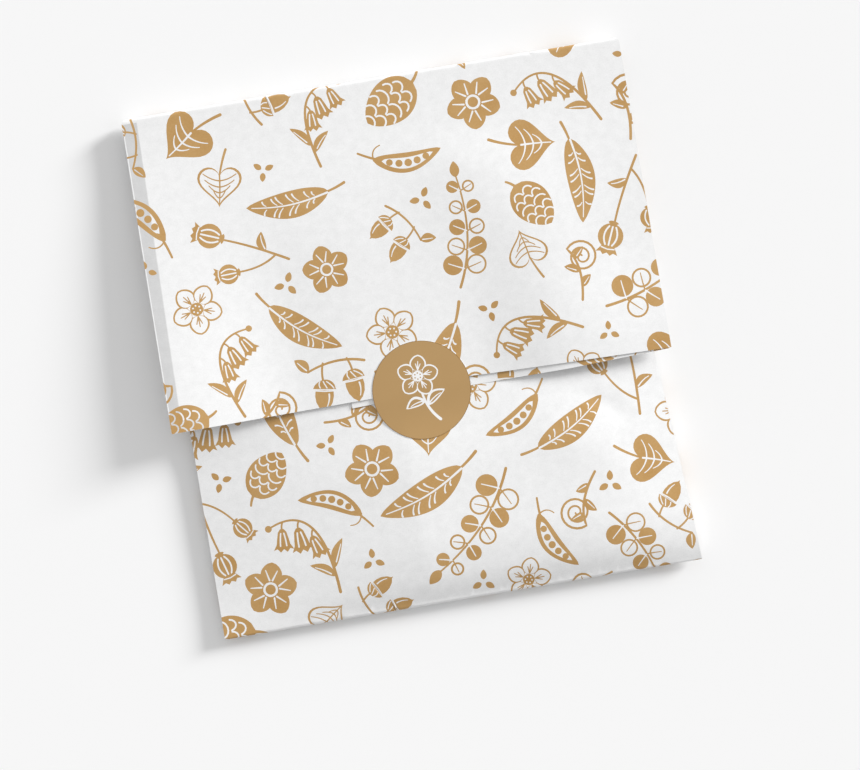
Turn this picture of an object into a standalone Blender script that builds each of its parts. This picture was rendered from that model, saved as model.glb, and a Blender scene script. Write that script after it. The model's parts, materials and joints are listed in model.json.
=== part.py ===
# Flat paper gift bag of the envelope kind, lying on its back and holding its filled shape.
# One long sheet runs from the flap round the top fold, down the back, round the bottom fold and up the front.
# +X is to the right of the front, +Y is towards the top fold and +Z is up. The origin is under the middle of the bag.
import math

import bmesh
import bpy

# Paper and glue
PAPER = 0.0002
PLY_GAP = 0.0006  # between two plies that lie face to face
GLUE = 0.00015
CREASE_GAP = 0.0003  # where the one sheet is parted into panels

# Outline of the closed bag from the front
BAG_HEIGHT = 0.2696
BAG_WIDTH = 0.2396
BOTTOM_FLARE = 0.0069  # how far the right side runs out towards the bottom
BOTTOM_SKEW = 0.0005  # rise of the bottom fold from left to right
FLAP_LENGTH = 0.1605
FLAP_SKEW = 0.0025  # rise of the flap's free edge from left to right

# Filled shape
CROWN_HEIGHT = 0.0095
RIM_HEIGHT = 0.0035  # underside of the side folds
SIDE_ROLL = 0.060  # width over which the panels round off to the side folds
BOTTOM_ROLL = 0.055
BOTTOM_BACK_HEIGHT = 0.0015  # where the back runs into the bottom fold
BOTTOM_FRONT_HEIGHT = 0.0055  # where the front leaves it
TOP_ROLL = 0.040
TOP_FOLD_RADIUS = 0.0026
MOUTH_SETBACK = 0.0316  # from the top fold to the front panel's upper edge
MOUTH_DROP = 0.002
MOUTH_ROLL = 0.050

# Flap
FLAP_CLEARANCE = 0.0004
FLAP_ROLL = 0.045  # length over which the flap climbs from the fold
RIGHT_LIFT = 0.0025  # how far the right half of the free edge stands off
RIGHT_LIFT_START = 0.030
RIGHT_LIFT_RUN = 0.045
RIGHT_LIFT_LENGTH = 0.060
LEFT_LIFT = 0.006  # how far the free edge's left corner curls up
LEFT_LIFT_START = 0.035
LEFT_LIFT_RUN = 0.095
LEFT_LIFT_LENGTH = 0.120

# Turned-in side margins
SEAM_WIDTH = 0.0084
SEAM_TAPER = 0.012
SEAM_END_SHARE = 0.65  # of the width, left at the tapered ends
SEAM_GLUE_INSET = 0.002
MARGIN_RUNOUT = 0.030  # length below the top fold over which the margins open out again

# Flap lining
LINING_INSET = 0.0065
LINING_START = 0.006
LINING_STEP_X = -0.0362
LINING_STEP_WIDTH = 0.001
LINING_TUCK = 0.003  # the left part ends this far inside the free edge
LINING_SHOW = 0.0032  # the right part shows this far past it at the step
LINING_SHOW_END = 0.0014
LINING_GLUE_LENGTH = 0.160
LINING_GLUE_WIDTH = 0.012
LINING_GLUE_INSET = 0.004

# Round seal
SEAL_DIAMETER = 0.050
SEAL_THICKNESS = 0.0002
SEAL_GAP = 0.0003
SEAL_STEP = 0.010  # length over which it comes down from the flap to the front panel
SEAL_BEND_RADIUS = 0.0005

# Facets
PANEL_COLUMNS = 20
PANEL_ROWS = 16
FLAP_COLUMNS = 16
FLAP_ROWS = 14
FOLD_ROWS = 8
SEAM_COLUMNS = 3
LINING_LEFT_COLUMNS = 6
SEAL_COLUMNS = 16
SEAL_ROWS = 6

# Values that follow from these
FRONT_RIM = RIM_HEIGHT + 3 * PAPER + 2 * PLY_GAP
FRONT_RISE = CROWN_HEIGHT - FRONT_RIM
FLAP_TOP = CROWN_HEIGHT + FLAP_CLEARANCE + 2 * PAPER + PLY_GAP
FLAP_WIDTH = BAG_WIDTH + 2 * SEAM_WIDTH  # the flap keeps the margins that the body turns in
HALF_FLAP = FLAP_WIDTH / 2
TOP_AXIS_Y = BAG_HEIGHT / 2 - TOP_FOLD_RADIUS
TOP_AXIS_Z = RIM_HEIGHT + TOP_FOLD_RADIUS
FREE_EDGE_Y = BAG_HEIGHT / 2 - FLAP_LENGTH
MOUTH_Y = BAG_HEIGHT / 2 - MOUTH_SETBACK
SEAM_TOP_Y = TOP_AXIS_Y - MARGIN_RUNOUT
SEAL_RADIUS = SEAL_DIAMETER / 2
SEAL_AXIS_Z = FLAP_TOP + SEAL_GAP + SEAL_THICKNESS + SEAL_BEND_RADIUS

WHITE_PAPER = (0.86, 0.86, 0.86, 1.0)
INNER_PAPER = (0.80, 0.80, 0.80, 1.0)
CLEAR_GLUE = (0.76, 0.72, 0.62, 1.0)
GOLD_PAPER = (0.47, 0.29, 0.12, 1.0)


def clear_scene():
    for old in list(bpy.data.objects):
        bpy.data.objects.remove(old, do_unlink=True)


def mix(low, high, share):
    return low + (high - low) * share


def clamp(value):
    return min(1.0, max(0.0, value))


def ease(value):
    # Level at both ends
    share = clamp(value)
    return share * share * (3.0 - 2.0 * share)


def swell(value):
    # Steep at first and level at the end
    return math.sin(math.pi / 2 * clamp(value))


def crowd(value):
    # Spaces grid lines closer towards both edges
    return math.sin(math.pi / 2 * value)


def share_of(value):
    return (value + 1.0) / 2


def left_side(y):
    return -BAG_WIDTH / 2


def right_side(y):
    flare = BOTTOM_FLARE * clamp((FREE_EDGE_Y - y) / (BAG_HEIGHT - FLAP_LENGTH))
    return BAG_WIDTH / 2 + flare


def bottom_line(x):
    return -BAG_HEIGHT / 2 + BOTTOM_SKEW * (x + BAG_WIDTH / 2) / (BAG_WIDTH + BOTTOM_FLARE)


def free_edge(x):
    return FREE_EDGE_Y + FLAP_SKEW * x / FLAP_WIDTH


def side_swell(x, y):
    return swell(min(x - left_side(y), right_side(y) - x) / SIDE_ROLL)


def bottom_fold_ends(x):
    # Heights of the sheet's outside where it runs into the bottom fold and out of it
    side = side_swell(x, bottom_line(x))
    low = mix(RIM_HEIGHT, BOTTOM_BACK_HEIGHT, side)
    high = mix(FRONT_RIM, BOTTOM_FRONT_HEIGHT, side)
    return low, high


def bottom_tangent(x):
    low, high = bottom_fold_ends(x)
    return bottom_line(x) + (high - low) / 2


def back_height(x, y):
    # Underside of the back: flat on the surface, rounding up to the rim on all sides
    bottom = 1.0 - ease((y - bottom_tangent(x)) / BOTTOM_ROLL)
    top = ease((y - TOP_AXIS_Y + TOP_ROLL) / TOP_ROLL)
    kept = 1.0 - bottom * BOTTOM_BACK_HEIGHT / RIM_HEIGHT
    return RIM_HEIGHT * (1.0 - side_swell(x, y) * kept * (1.0 - top))


def front_height(x, y):
    # Upper face of the front: a level crown that rounds off to the sides, the bottom fold and the mouth
    start = (BOTTOM_FRONT_HEIGHT - FRONT_RIM) / FRONT_RISE
    bottom = mix(start, 1.0, swell((y - bottom_tangent(x)) / BOTTOM_ROLL))
    mouth = 1.0 - MOUTH_DROP / FRONT_RISE * ease((y - MOUTH_Y + MOUTH_ROLL) / MOUTH_ROLL)
    return FRONT_RIM + FRONT_RISE * side_swell(x, y) * bottom * mouth


def flap_height(x, y):
    # Upper face of the flap: climbs from the fold, stands off at the right, curls up at the left corner
    climb = swell((TOP_AXIS_Y - y) / FLAP_ROLL)
    above = y - free_edge(x)
    right = RIGHT_LIFT * ease((x - RIGHT_LIFT_START) / RIGHT_LIFT_RUN) * ease(1.0 - above / RIGHT_LIFT_LENGTH)
    left = LEFT_LIFT * ease((-x - LEFT_LIFT_START) / LEFT_LIFT_RUN) * ease(1.0 - above / LEFT_LIFT_LENGTH)
    return mix(TOP_AXIS_Z + TOP_FOLD_RADIUS, FLAP_TOP, climb) + right + left


def paper_material(name, colour, roughness):
    material = bpy.data.materials.new(name)
    material.use_nodes = True
    shader = material.node_tree.nodes["Principled BSDF"]
    shader.inputs["Base Color"].default_value = colour
    shader.inputs["Roughness"].default_value = roughness
    shader.inputs["Metallic"].default_value = 0.0
    return material


def make_axis(name, place, parent=None):
    axis = bpy.data.objects.new(name, None)
    axis.empty_display_size = SEAL_RADIUS
    axis.location = place
    bpy.context.scene.collection.objects.link(axis)
    if parent is not None:
        axis.parent = parent
        axis.location = [a - b for a, b in zip(place, parent.location)]
    return axis


def make_sheet(name, columns, rows, place, thickness, side, colour, roughness=0.6, axis=None, axis_place=(0, 0, 0)):
    # A grid laid out by place(u, v), with u and v from -1 to 1, thickened along its normals (side 1) or against them
    grid = bmesh.new()
    bmesh.ops.create_grid(grid, x_segments=columns, y_segments=rows, size=1.0)
    for vert in grid.verts:
        point = place(vert.co.x, vert.co.y)
        vert.co = [a - b for a, b in zip(point, axis_place)]
    bmesh.ops.remove_doubles(grid, verts=grid.verts, dist=1e-6)
    mesh = bpy.data.meshes.new(name)
    grid.to_mesh(mesh)
    grid.free()
    mesh.shade_smooth()
    mesh.materials.append(paper_material(name, colour, roughness))
    sheet = bpy.data.objects.new(name, mesh)
    bpy.context.scene.collection.objects.link(sheet)
    sheet.parent = axis
    thicken = sheet.modifiers.new("thickness", "SOLIDIFY")
    thicken.thickness = thickness
    thicken.offset = side
    thicken.use_even_offset = True
    return sheet


def back_place(u, v):
    start = mix(-BAG_HEIGHT / 2, TOP_AXIS_Y, share_of(crowd(v)))
    runout = (HALF_FLAP - BAG_WIDTH / 2) * ease((start - SEAM_TOP_Y) / MARGIN_RUNOUT)
    x = mix(left_side(start) - runout, right_side(start) + runout, share_of(crowd(u)))
    y = mix(bottom_tangent(x) + CREASE_GAP, TOP_AXIS_Y - CREASE_GAP, share_of(crowd(v)))
    return x, y, back_height(x, y)


def front_place(u, v):
    start = mix(-BAG_HEIGHT / 2, MOUTH_Y, share_of(crowd(v)))
    x = mix(left_side(start), right_side(start), share_of(crowd(u)))
    y = mix(bottom_tangent(x) + CREASE_GAP, MOUTH_Y, share_of(crowd(v)))
    return x, y, front_height(x, y)


def bottom_fold_place(u, v):
    # Half round from the back to the front, flattening out towards the side folds
    x = mix(left_side(-BAG_HEIGHT / 2), right_side(-BAG_HEIGHT / 2), share_of(crowd(u)))
    low, high = bottom_fold_ends(x)
    reach = (high - low) / 2
    turn = math.pi * share_of(v)
    return x, bottom_tangent(x) - reach * math.sin(turn), low + reach * (1.0 - math.cos(turn))


def top_fold_place(u, v):
    turn = math.pi * share_of(v)
    y = TOP_AXIS_Y + TOP_FOLD_RADIUS * math.sin(turn)
    return HALF_FLAP * crowd(u), y, TOP_AXIS_Z - TOP_FOLD_RADIUS * math.cos(turn)


def flap_place(u, v):
    x = HALF_FLAP * crowd(u)
    y = mix(free_edge(x), TOP_AXIS_Y - CREASE_GAP, share_of(crowd(v)))
    return x, y, flap_height(x, y)


def lining_column(u):
    # Grid lines on both sides of the step in the free edge
    edge = HALF_FLAP - LINING_INSET
    line = round(share_of(u) * FLAP_COLUMNS)
    if line <= LINING_LEFT_COLUMNS:
        return mix(-edge, LINING_STEP_X - LINING_STEP_WIDTH / 2, line / LINING_LEFT_COLUMNS), True
    right_columns = FLAP_COLUMNS - LINING_LEFT_COLUMNS - 1
    share = (line - LINING_LEFT_COLUMNS - 1) / right_columns
    return mix(LINING_STEP_X + LINING_STEP_WIDTH / 2, edge, share), False


def lining_place(u, v):
    x, left_part = lining_column(u)
    past = (x - LINING_STEP_X) / (HALF_FLAP - LINING_INSET - LINING_STEP_X)
    end = free_edge(x) - mix(LINING_SHOW, LINING_SHOW_END, past)
    if left_part:
        end = free_edge(x) + LINING_TUCK
    y = mix(end, TOP_AXIS_Y - LINING_START, share_of(crowd(v)))
    return x, y, flap_height(x, y) - PAPER - PLY_GAP


def lining_glue_place(u, v):
    x = LINING_GLUE_LENGTH / 2 * u
    top = TOP_AXIS_Y - LINING_START - LINING_GLUE_INSET
    y = mix(top - LINING_GLUE_WIDTH, top, share_of(v))
    return x, y, flap_height(x, y) - PAPER - (PLY_GAP - GLUE) / 2


def seam_place(hand, inset, end_inset, depth):
    # A strip just inside one side fold, under the front panel, narrowing at both ends
    def place(u, v):
        low = -BAG_HEIGHT / 2 + (BOTTOM_FRONT_HEIGHT - BOTTOM_BACK_HEIGHT) / 2 + end_inset
        y = mix(low, SEAM_TOP_Y - end_inset, share_of(crowd(v)))
        ends = clamp(min(y - low, SEAM_TOP_Y - end_inset - y) / SEAM_TAPER)
        inner = SEAM_WIDTH * mix(SEAM_END_SHARE, 1.0, ends) - inset
        outer = CREASE_GAP + inset
        if hand < 0:
            x = left_side(y) + mix(outer, inner, share_of(u))
        else:
            x = right_side(y) - mix(inner, outer, share_of(u))
        return x, y, front_height(x, y) - depth

    return place


def seal_place(half):
    # Half of the round seal: the upper half (1) lies on the flap, the lower (-1) comes down to the front panel
    def place(u, v):
        x = SEAL_RADIUS * crowd(u)
        across = max(0.0, math.sqrt(max(0.0, SEAL_RADIUS**2 - x**2)) - CREASE_GAP / 2)
        away = CREASE_GAP / 2 + across * (share_of(v) if half > 0 else 1.0 - share_of(v))
        y = FREE_EDGE_Y + half * away
        low = 0.0 if half > 0 else ease(away / SEAL_STEP)
        return x, y, mix(flap_height(x, y), front_height(x, y), low) + SEAL_GAP

    return place


def make_bag():
    make_sheet("back_panel", PANEL_COLUMNS, PANEL_ROWS, back_place, PAPER, 1, WHITE_PAPER)
    make_sheet("front_panel", PANEL_COLUMNS, PANEL_ROWS, front_place, PAPER, -1, WHITE_PAPER)
    make_sheet("bottom_fold", PANEL_COLUMNS, FOLD_ROWS, bottom_fold_place, PAPER, -1, WHITE_PAPER)
    make_sheet("top_fold", FLAP_COLUMNS, FOLD_ROWS, top_fold_place, PAPER, 1, WHITE_PAPER)
    strip_depth = PAPER + PLY_GAP
    glue_depth = PAPER + (PLY_GAP - GLUE) / 2
    for side, hand in (("left", -1), ("right", 1)):
        strip = seam_place(hand, 0.0, 0.0, strip_depth)
        make_sheet(side + "_seam_strip", SEAM_COLUMNS, PANEL_ROWS, strip, PAPER, -1, INNER_PAPER)
        glue = seam_place(hand, SEAM_GLUE_INSET, SEAM_TAPER, glue_depth)
        make_sheet(side + "_seam_glue", SEAM_COLUMNS, PANEL_ROWS, glue, GLUE, -1, CLEAR_GLUE, 0.4)


def make_flap(axis, place):
    make_sheet("flap", FLAP_COLUMNS, FLAP_ROWS, flap_place, PAPER, -1, WHITE_PAPER, 0.6, axis, place)
    make_sheet("flap_lining", FLAP_COLUMNS, FLAP_ROWS, lining_place, PAPER, -1, INNER_PAPER, 0.6, axis, place)
    make_sheet("lining_glue", FLAP_COLUMNS, SEAM_COLUMNS, lining_glue_place, GLUE, -1, CLEAR_GLUE, 0.4, axis, place)


def make_seal(flap_axis, flap_place_m, bend_axis, bend_place_m):
    size = (SEAL_COLUMNS, SEAL_ROWS)
    upper = seal_place(1)
    lower = seal_place(-1)
    make_sheet("seal_upper_half", *size, upper, SEAL_THICKNESS, 1, GOLD_PAPER, 0.5, flap_axis, flap_place_m)
    make_sheet("seal_lower_half", *size, lower, SEAL_THICKNESS, 1, GOLD_PAPER, 0.5, bend_axis, bend_place_m)


clear_scene()
flap_axis_place = (0.0, TOP_AXIS_Y, TOP_AXIS_Z)
seal_axis_place = (0.0, FREE_EDGE_Y, SEAL_AXIS_Z)
flap_axis = make_axis("flap_axis", flap_axis_place)
seal_axis = make_axis("seal_axis", seal_axis_place, flap_axis)
make_bag()
make_flap(flap_axis, flap_axis_place)
make_seal(flap_axis, flap_axis_place, seal_axis, seal_axis_place)
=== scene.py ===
import json
import math

import bpy
import numpy as np
from mathutils.geometry import delaunay_2d_cdt
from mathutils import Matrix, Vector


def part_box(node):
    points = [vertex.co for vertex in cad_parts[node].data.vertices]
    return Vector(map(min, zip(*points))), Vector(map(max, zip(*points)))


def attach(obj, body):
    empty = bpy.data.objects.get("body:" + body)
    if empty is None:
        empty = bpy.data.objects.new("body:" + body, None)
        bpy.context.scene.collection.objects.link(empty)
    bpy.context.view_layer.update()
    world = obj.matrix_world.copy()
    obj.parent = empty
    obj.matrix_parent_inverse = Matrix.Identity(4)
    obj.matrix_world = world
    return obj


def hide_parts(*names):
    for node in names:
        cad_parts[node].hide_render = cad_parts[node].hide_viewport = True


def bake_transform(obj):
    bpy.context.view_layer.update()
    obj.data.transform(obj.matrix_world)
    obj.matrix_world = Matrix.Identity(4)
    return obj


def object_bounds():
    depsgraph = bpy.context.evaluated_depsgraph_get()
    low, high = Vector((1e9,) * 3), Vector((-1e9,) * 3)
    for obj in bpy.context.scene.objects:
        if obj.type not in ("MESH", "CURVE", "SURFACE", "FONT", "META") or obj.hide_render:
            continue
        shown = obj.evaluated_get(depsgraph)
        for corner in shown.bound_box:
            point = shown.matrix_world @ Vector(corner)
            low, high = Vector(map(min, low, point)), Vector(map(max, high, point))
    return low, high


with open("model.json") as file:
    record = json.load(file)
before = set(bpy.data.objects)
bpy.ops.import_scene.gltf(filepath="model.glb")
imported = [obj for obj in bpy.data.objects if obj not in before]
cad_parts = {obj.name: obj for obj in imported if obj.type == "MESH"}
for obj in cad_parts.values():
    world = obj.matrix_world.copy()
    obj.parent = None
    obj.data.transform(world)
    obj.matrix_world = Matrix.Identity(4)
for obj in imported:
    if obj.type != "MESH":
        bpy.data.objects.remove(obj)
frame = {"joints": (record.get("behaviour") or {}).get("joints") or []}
cadLow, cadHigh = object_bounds()
joints = {joint["name"]: joint for joint in frame["joints"]}
print("stage frame: solids loaded")

# Shape of the bag, from the frame where it tells, in metres
foldAxis = joints["flap_hinge"]["pos_m"]
sealAxis = joints["seal_peel"]["pos_m"]
frontLow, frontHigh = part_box("front_panel")
flapLow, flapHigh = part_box("flap")
bag = {
    "bottomY": cadLow.y, "halfBody": -frontLow.x, "flare": frontHigh.x + frontLow.x, "halfFlap": flapHigh.x,
    "freeY": sealAxis[1], "flapSkew": 2 * (sealAxis[1] - flapLow.y), "bottomSkew": 0.0005,
    "mouthY": frontHigh.y, "foldRadius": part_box("top_fold")[1].y - foldAxis[1], "foldPower": 0.3,
    "cornerDrop": 0.0008, "cornerRadius": 2.8, "sideRoll": 0.060, "runout": 0.030,
    "margin": flapHigh.x + frontLow.x,
}
cornerFall = {"startX": 0.020, "spanX": 0.110, "startY": 0.035, "spanY": 0.090}
foldFoot = foldAxis[2] - bag["foldRadius"]
backPanel = {"rim": foldFoot, "atBottom": 0.0015, "bottomRoll": 0.055, "topRoll": 0.040}
frontPanel = {
    "rim": 0.0053, "crown": frontHigh.z, "atBottom": 0.0055, "roll": 0.032, "tightRoll": 0.012,
    "tightShare": 0.3, "belly": 0.0033, "bellyTop": -0.020, "bellySpan": 0.050, "mouthDrop": 0.002,
    "mouthRoll": 0.050, "rightEdge": 0.55, "leftSpan": 0.108, "leftBow": 0.2, "leftEdge": 0.0024,
    "leftEdgeStart": -0.050, "leftEdgeSpan": 0.030, "leftDip": 0.0005, "leftDipSpan": 0.020,
    "dentInset": 0.012, "dentFade": 0.025, "dentFoot": 0.030,
    "dents": [(70, -60, -40, 60, 14, 0.5), (98, -52, -32, 18, 5, -0.9), (-60, -60, 20, 50, 16, 0.3)],
}
flapPly = {
    "top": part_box("seal_upper_half")[0].z - 0.0003, "roll": 0.085, "rightLift": 0.0025, "rightStart": 0.030,
    "rightSpan": 0.045, "rightHigh": 0.060, "leftLift": 0.0055, "leftStart": 0.055, "leftSpan": 0.075,
    "leftHigh": 0.150, "sag": 0.0013, "sagStart": 0.018, "sagSpan": 0.060, "sagBelow": 0.030,
    "sagHigh": 0.060, "dentBelow": 0.024, "dentFade": 0.030,
    "dents": [(64, 46, -66, 105, 30, 2.0), (40, 20, 60, 60, 18, -0.2), (-60, 70, 100, 60, 22, 0.3)],
}


def clip01(value):  # held between 0 and 1
    return np.clip(value, 0.0, 1.0)


def ease(value):  # three squares less two cubes: level at 0 and at 1
    share = clip01(value)
    return share * share * (3.0 - 2.0 * share)


def swell(value):  # quarter of a sine: steep at 0, level at 1
    return np.sin(0.5 * np.pi * clip01(value))


def mix(low, high, share):  # low plus a share of the way to high
    return low + (high - low) * share


# Bell-shaped ridges: middle x and y, direction in degrees, half length, half width and height, lengths in mm
def dents(x, y, ridges):
    total = np.zeros_like(x)
    for cx, cy, degrees, long, wide, height in ridges:
        turn = math.radians(degrees)
        along = ((x - 0.001 * cx) * math.cos(turn) + (y - 0.001 * cy) * math.sin(turn)) / (0.001 * long)
        across = ((y - 0.001 * cy) * math.cos(turn) - (x - 0.001 * cx) * math.sin(turn)) / (0.001 * wide)
        total += 0.001 * height * np.exp(-(along**2) - across**2)
    return total


def rightSide(y):  # straight down to the flap's edge, then running out to the bottom
    return bag["halfBody"] + bag["flare"] * clip01((bag["freeY"] - y) / (bag["freeY"] - bag["bottomY"]))


def bottomLine(x):  # y of the bottom edge, a straight line
    return bag["bottomY"] + bag["bottomSkew"] * (x + bag["halfBody"]) / (2 * bag["halfBody"] + bag["flare"])


def freeEdge(x):  # y of the flap's lower edge, a straight line
    return bag["freeY"] + bag["flapSkew"] * x / (2 * bag["halfFlap"])


def sideSwell(x, y):  # 0 at the side folds, 1 where the panels lie level
    return swell(np.minimum(x + bag["halfBody"], rightSide(y) - x) / bag["sideRoll"])


def bottomEnds(x):  # heights at which the sheet enters and leaves the bottom fold
    side = sideSwell(x, bottomLine(x))
    low = mix(backPanel["rim"], backPanel["atBottom"], side)
    return low, mix(frontPanel["rim"], frontPanel["atBottom"], side)


def bottomTangent(x):  # y where the bottom fold begins, half the fold's height above the bottom edge
    low, high = bottomEnds(x)
    return bottomLine(x) + 0.5 * (high - low)


def cornerDrop(x, y):  # the top left corner of the whole bag lies lower
    across = ease((-x - cornerFall["startX"]) / cornerFall["spanX"])
    return bag["cornerDrop"] * across * ease((y - cornerFall["startY"]) / cornerFall["spanY"])


def backHeight(x, y):  # flat on the floor in the middle, up to the rim at the sides and the top fold
    level = sideSwell(x, y)
    bottom = 1.0 - ease((y - bottomTangent(x)) / backPanel["bottomRoll"])
    top = ease((y - foldAxis[1]) / backPanel["topRoll"] + 1.0)
    kept = 1.0 - bottom * backPanel["atBottom"] / backPanel["rim"]
    fallen = cornerDrop(x, y) * (1.0 - level * (1.0 - top))
    return backPanel["rim"] * (1.0 - level * kept * (1.0 - top)) - fallen


# The rim plus a filled height: up from the bottom in a roll, a little down to the mouth, and a belly below the
# flap; it is lower along the right side, and on the left runs in a bowed slope to an edge of its own height
def frontHeight(x, y):
    rise = frontPanel["crown"] - frontPanel["rim"]
    start = (frontPanel["atBottom"] - frontPanel["rim"]) / rise
    above = y - bottomTangent(x)
    tight = swell(above / frontPanel["tightRoll"])
    roll = mix(swell(above / frontPanel["roll"]), tight, frontPanel["tightShare"])
    mouth = 1.0 - frontPanel["mouthDrop"] / rise * ease((y - bag["mouthY"]) / frontPanel["mouthRoll"] + 1.0)
    belly = frontPanel["belly"] * roll * ease((frontPanel["bellyTop"] - y) / frontPanel["bellySpan"])
    filled = rise * mix(start, 1.0, roll) * mouth + belly
    right = mix(frontPanel["rightEdge"], 1.0, swell((rightSide(y) - x) / bag["sideRoll"])) * filled
    edge = frontPanel["leftEdge"] * ease((y - frontPanel["leftEdgeStart"]) / frontPanel["leftEdgeSpan"])
    edge = edge - frontPanel["leftDip"] * ease(above / frontPanel["leftDipSpan"])
    share = clip01((x + bag["halfBody"]) / frontPanel["leftSpan"])
    left = mix(edge, filled, share * (1.0 + frontPanel["leftBow"] * (1.0 - share)))
    inset = np.minimum(x + bag["halfBody"], rightSide(y) - x) - frontPanel["dentInset"]
    inner = ease(inset / frontPanel["dentFade"]) * ease(above / frontPanel["dentFoot"])
    relief = inner * dents(x, y, frontPanel["dents"])
    return frontPanel["rim"] + np.where(x > 0.0, right, left) + relief - cornerDrop(x, y)


# Climbs from the top fold to the seal's level, then both lower corners lift and the left half sags between
def flapHeight(x, y):
    below, above = foldAxis[1] - y, y - freeEdge(x)
    climb = ease(below / flapPly["roll"])
    right = ease((x - flapPly["rightStart"]) / flapPly["rightSpan"])
    right = right * ease(1.0 - above / flapPly["rightHigh"])
    left = ease((-x - flapPly["leftStart"]) / flapPly["leftSpan"])
    left = left * ease(1.0 - above / flapPly["leftHigh"])
    sag = ease((-x - flapPly["sagStart"]) / flapPly["sagSpan"])
    sag = sag * ease((below - flapPly["sagBelow"]) / flapPly["sagHigh"])
    relief = ease((below - flapPly["dentBelow"]) / flapPly["dentFade"]) * dents(x, y, flapPly["dents"])
    level = mix(foldAxis[2] + bag["foldRadius"], flapPly["top"], climb)
    level = level + flapPly["rightLift"] * right + flapPly["leftLift"] * left - flapPly["sag"] * sag
    return level + relief - cornerDrop(x, y)


# Section of the top fold: radius times (sine to a power, cosine), at even steps of its own length
def foldSection(share):
    turn = np.linspace(0.0, math.pi, 721)
    out, up = np.abs(np.sin(turn)) ** bag["foldPower"], np.cos(turn)
    length = np.concatenate([[0.0], np.cumsum(np.hypot(np.diff(out), np.diff(up)))])
    share = np.clip(share, 0.0, 1.0) * length[-1]
    return bag["foldRadius"] * np.interp(share, length, out), bag["foldRadius"] * np.interp(share, length, up)


# Maps from flat paper to the bag: points are (across, along) in metres, results are x, y, z
def placeWrap(flat):  # flap above along 0, then half round the top fold, then down the back
    x, along = flat[:, 0], flat[:, 1]
    arc = math.pi * bag["foldRadius"]
    out, up = foldSection(along / arc)
    y = foldAxis[1] + np.minimum(along, 0.0) + out - np.maximum(along - arc, 0.0)
    folded = foldAxis[2] + up - cornerDrop(x, y)
    z = np.where(along < 0.0, flapHeight(x, y), np.where(along > arc, backHeight(x, y), folded))
    return np.stack([x, y, z], axis=1)


def placeFront(flat):  # front panel, and below its tangent line half round the bottom fold
    x, along = flat[:, 0], flat[:, 1]
    tangent = bottomTangent(x)
    low, high = bottomEnds(x)
    reach = 0.5 * (high - low)
    turn = np.clip((tangent - along) / reach, 0.0, math.pi)
    y = np.maximum(along, tangent) - reach * np.sin(turn)
    z = np.where(along > tangent, frontHeight(x, y), high - reach * (1.0 - np.cos(turn)))
    return np.stack([x, y, z], axis=1)


# Outlines and fill for the print, in millimetres
def stroke(path, width, endWidth=None):  # path moved half a width to each side, with round ends
    path = np.asarray(path, float)
    slope = np.gradient(path, axis=0)
    slope /= np.linalg.norm(slope, axis=1)[:, None]
    side = np.stack([-slope[:, 1], slope[:, 0]], axis=1)
    half = 0.5 * np.linspace(width, width if endWidth is None else endWidth, len(path))[:, None]
    turn = np.linspace(0.0, math.pi, 6)[1:-1, None]
    endCap = path[-1] + half[-1] * (np.cos(turn) * side[-1] + np.sin(turn) * slope[-1])
    startCap = path[0] + half[0] * (-np.cos(turn) * side[0] - np.sin(turn) * slope[0])
    return np.concatenate([path + half * side, endCap, (path - half * side)[::-1], startCap])


def curve(start, bend, end, count=12):  # quadratic from start to end, pulled towards bend
    t = np.linspace(0.0, 1.0, count)[:, None]
    start, bend, end = (np.asarray(p, float) for p in (start, bend, end))
    return (1 - t) ** 2 * start + 2 * t * (1 - t) * bend + t**2 * end


def leaf(base, tip, width, lean=0.0, fat=0.8, count=13):  # lens about a bowed midrib
    base, tip = np.asarray(base, float), np.asarray(tip, float)
    t = np.linspace(0.0, 1.0, count)[:, None]
    axis = tip - base
    side = np.array([-axis[1], axis[0]]) / np.linalg.norm(axis)
    middle = base + axis * t + side * lean * np.sin(np.pi * t)
    half = 0.5 * width * np.maximum(np.sin(np.pi * t**0.85), 0.0) ** fat
    return np.concatenate([middle - side * half, (middle + side * half)[-2:0:-1]])


def disc(centre, radius, count=18):  # even steps round a circle
    turn = np.linspace(0.0, 2 * math.pi, count, endpoint=False)
    return np.asarray(centre, float) + radius * np.stack([np.cos(turn), np.sin(turn)], axis=1)


def heart(size, count=40):  # notch above, point below, size across
    t = np.linspace(0.0, 2 * math.pi, count, endpoint=False)
    x = 16 * np.sin(t) ** 3
    y = 13 * np.cos(t) - 5 * np.cos(2 * t) - 2 * np.cos(3 * t) - np.cos(4 * t)
    return np.stack([-x, y], axis=1) * size / 32


def polar(radius, degrees):  # radius times (cosine, sine)
    turn = math.radians(degrees)
    return np.array([radius * math.cos(turn), radius * math.sin(turn)])


def turned(shape, degrees, offset=(0.0, 0.0)):  # turned about the origin, then moved
    turn = math.radians(degrees)
    spin = np.array([[math.cos(turn), math.sin(turn)], [-math.sin(turn), math.cos(turn)]])
    return shape @ spin + np.asarray(offset, float)


# Motifs: lists of (outline, inked), each drawn over those before it
def inkLine(*path):
    return stroke(*path), True


def paleLine(*path):
    return stroke(*path), False


def heartLeaf():  # solid, with pale veins
    shape = [inkLine(curve((0, 4), (1, 12), (4, 19)), 1.0, 1.5), (heart(25), True)]
    shape.append(paleLine(curve((0, 3.5), (0.4, -4), (0, -11)), 1.0, 0.5))
    for side in (-1, 1):
        for level, reach in ((1.5, 9.0), (-2.5, 7.5), (-6.5, 4.6)):
            bend, end = (side * reach * 0.6, level + 0.6), (side * reach, level + 4.0)
            vein = curve((0.2 * side, level), bend, end, 8)
            shape.append(paleLine(vein, 0.8, 0.4))
    return shape


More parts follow.
